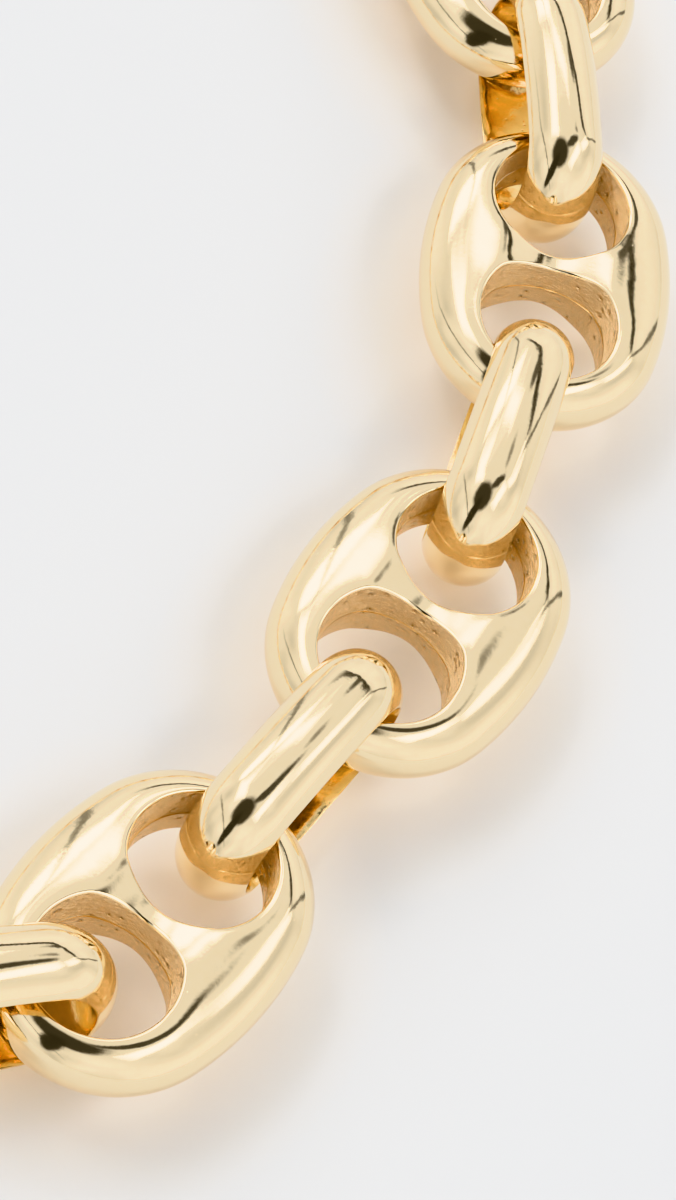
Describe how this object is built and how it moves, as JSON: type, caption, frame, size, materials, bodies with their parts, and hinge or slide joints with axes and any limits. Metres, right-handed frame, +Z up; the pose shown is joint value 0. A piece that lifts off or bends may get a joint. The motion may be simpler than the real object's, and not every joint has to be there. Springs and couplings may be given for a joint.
{
  "type": "mariner link chain necklace",
  "caption": "Chunky gold mariner chain necklace laid out as a closed loop: flat puffed anchor links with a crossbar joined by upright oval connector links.",
  "frame": {"origin": "middle of the loop, on the surface that the chain lies on", "axes": "+Z up out of the surface, +Y from the middle of the loop towards the clasp"},
  "size_m": [0.1484, 0.1488, 0.0085],
  "materials": {
    "polished_gold": "polished, light gold plate",
    "pale_gold": "polished, light gold plate, with a brushed flat inside"
  },
  "bodies": {
    "root": {"mariner_link_01": "polished_gold", "mariner_link_02": "polished_gold", "mariner_link_03": "polished_gold", "mariner_link_04": "polished_gold", "mariner_link_05": "polished_gold", "mariner_link_06": "polished_gold", "mariner_link_07": "polished_gold", "mariner_link_08": "polished_gold", "mariner_link_09": "polished_gold", "mariner_link_10": "polished_gold", "mariner_link_11": "polished_gold", "mariner_link_12": "polished_gold", "mariner_link_13": "polished_gold", "mariner_link_14": "polished_gold", "mariner_link_15": "polished_gold", "mariner_link_16": "polished_gold", "mariner_link_17": "polished_gold", "mariner_link_18": "polished_gold", "mariner_link_19": "polished_gold", "mariner_link_20": "polished_gold", "connector_link_01": "pale_gold", "connector_link_02": "pale_gold", "connector_link_03": "pale_gold", "connector_link_04": "pale_gold", "connector_link_05": "pale_gold", "connector_link_06": "pale_gold", "connector_link_07": "pale_gold", "connector_link_08": "pale_gold", "connector_link_09": "pale_gold", "connector_link_10": "pale_gold", "connector_link_11": "pale_gold", "connector_link_12": "pale_gold", "connector_link_13": "pale_gold", "connector_link_14": "pale_gold", "connector_link_15": "pale_gold", "connector_link_16": "pale_gold", "connector_link_17": "pale_gold", "connector_link_18": "pale_gold", "connector_link_19": "pale_gold", "clasp": "pale_gold"}
  },
  "joints": []
}
